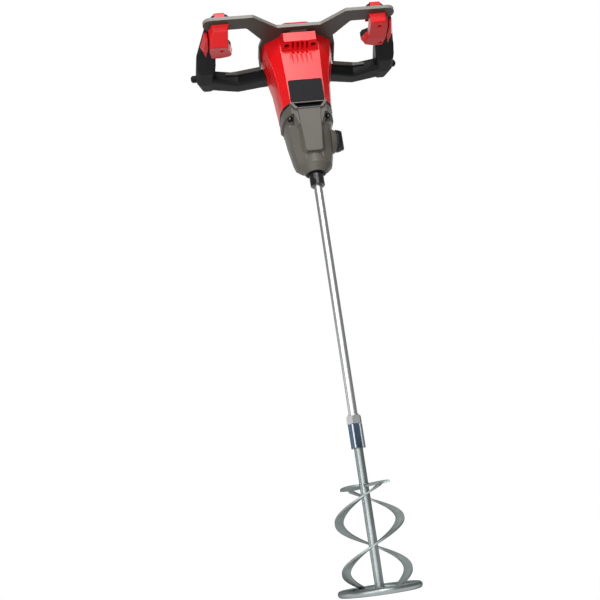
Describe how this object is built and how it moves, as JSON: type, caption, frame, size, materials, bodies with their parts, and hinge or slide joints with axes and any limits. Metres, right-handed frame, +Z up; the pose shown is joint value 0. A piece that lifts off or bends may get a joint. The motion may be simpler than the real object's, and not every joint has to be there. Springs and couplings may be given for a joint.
{
  "type": "mixing drill",
  "caption": "Two-handed mixing drill: level handle frame with trigger grips, motor and gear housing on one axis, and a long rod carrying a helical ribbon stirrer.",
  "frame": {"origin": "middle of the stirrer ring's foot, on the spindle axis", "axes": "+Z up along the spindle axis, -Y towards the labelled front, X across the two grips"},
  "size_m": [0.386, 0.188, 0.967],
  "materials": {
    "red_moulding": "moulded, satin",
    "black_moulding": "moulded, fine grain",
    "soft_grip": "overmoulded, matt",
    "grey_casting": "die cast, grey paint",
    "plated_steel": "zinc plated",
    "coupling_steel": "blue zinc plated",
    "black_steel": "black oxide",
    "gear_steel": "ground",
    "screw_steel": "zinc plated",
    "bearing_steel": "polished",
    "lamination_steel": "stamped laminations",
    "copper_winding": "enamelled copper",
    "brass_contact": "tinned",
    "circuit_board": "solder mask",
    "seal_rubber": "matt",
    "label_film": "bare dark film"
  },
  "bodies": {
    "machine": {"spindle_bearing": "bearing_steel", "spindle_bush": "brass_contact", "nose_seal": "seal_rubber", "gear_housing": "grey_casting", "outlet_grille": "black_moulding", "bearing_plate": "grey_casting", "gear_housing_screws": "screw_steel", "housing_gasket": "seal_rubber", "layshaft_bearings": "bearing_steel", "rotor_bearings": "bearing_steel", "stator_core": "lamination_steel", "stator_coils": "copper_winding", "motor_end_plate": "grey_casting", "motor_housing_front": "red_moulding", "motor_housing_rear": "red_moulding", "shell_screws": "screw_steel", "label_plate": "label_film", "controller_board": "circuit_board", "battery_shoe": "black_moulding", "battery_terminals": "brass_contact", "handle_frame": "grey_casting", "frame_screws": "screw_steel", "top_cap": "red_moulding", "grip_screws": "screw_steel", "rear_bar_left": "black_moulding", "grip_left": "soft_grip", "switch_housing_left": "red_moulding", "grip_panel_left": "red_moulding", "grip_cap_left": "red_moulding", "end_bumper_left": "soft_grip", "switch_module_left": "black_moulding", "rear_bar_right": "black_moulding", "grip_right": "soft_grip", "switch_housing_right": "red_moulding", "grip_panel_right": "red_moulding", "grip_cap_right": "red_moulding", "end_bumper_right": "soft_grip", "switch_module_right": "black_moulding"},
    "stirring_spindle": {"stirrer_ring": "plated_steel", "ring_crossbar": "plated_steel", "stirrer_shaft": "plated_steel", "helix_strip_a": "plated_steel", "helix_strip_b": "plated_steel", "helix_blade_a": "plated_steel", "helix_blade_b": "plated_steel", "coupling_nut": "coupling_steel", "lock_nut": "plated_steel", "upper_rod": "plated_steel", "spindle": "black_steel", "output_gear": "gear_steel"},
    "layshaft_set": {"layshaft": "gear_steel", "layshaft_gear": "gear_steel"},
    "motor_rotor": {"rotor_shaft": "gear_steel", "rotor_core": "lamination_steel", "cooling_fan": "black_moulding"},
    "right_trigger": {"trigger_right": "black_moulding"},
    "left_trigger": {"trigger_left": "black_moulding"},
    "speed_knob": {"selector_knob": "black_moulding"}
  },
  "joints": [
    {"name": "spindle_spin", "type": "hinge", "parent": "machine", "child": "stirring_spindle", "pos_m": [0, 0, 0.706], "axis": [0, 0, 1], "continuous": true},
    {"name": "layshaft_spin", "type": "hinge", "parent": "machine", "child": "layshaft_set", "pos_m": [0, 0.034, 0.756], "axis": [0, 0, 1], "continuous": true},
    {"name": "rotor_spin", "type": "hinge", "parent": "machine", "child": "motor_rotor", "pos_m": [0, 0.014, 0.856], "axis": [0, 0, 1], "continuous": true},
    {"name": "right_trigger_press", "type": "slide", "parent": "machine", "child": "right_trigger", "axis": [1, 0, 0], "range_m": [0, 0.006], "stiffness_N_per_m": 600, "springref_m": -0.004},
    {"name": "left_trigger_press", "type": "slide", "parent": "machine", "child": "left_trigger", "axis": [-1, 0, 0], "range_m": [0, 0.006], "stiffness_N_per_m": 600, "springref_m": -0.004},
    {"name": "speed_knob_turn", "type": "hinge", "parent": "machine", "child": "speed_knob", "pos_m": [0.046, 0.002, 0.738], "axis": [1, 0, 0], "range_deg": [0, 180]}
  ],
  "couplings": [
    {"joint": "layshaft_spin", "follows": "spindle_spin", "ratio": -2.4},
    {"joint": "rotor_spin", "follows": "spindle_spin", "ratio": 12.6}
  ]
}
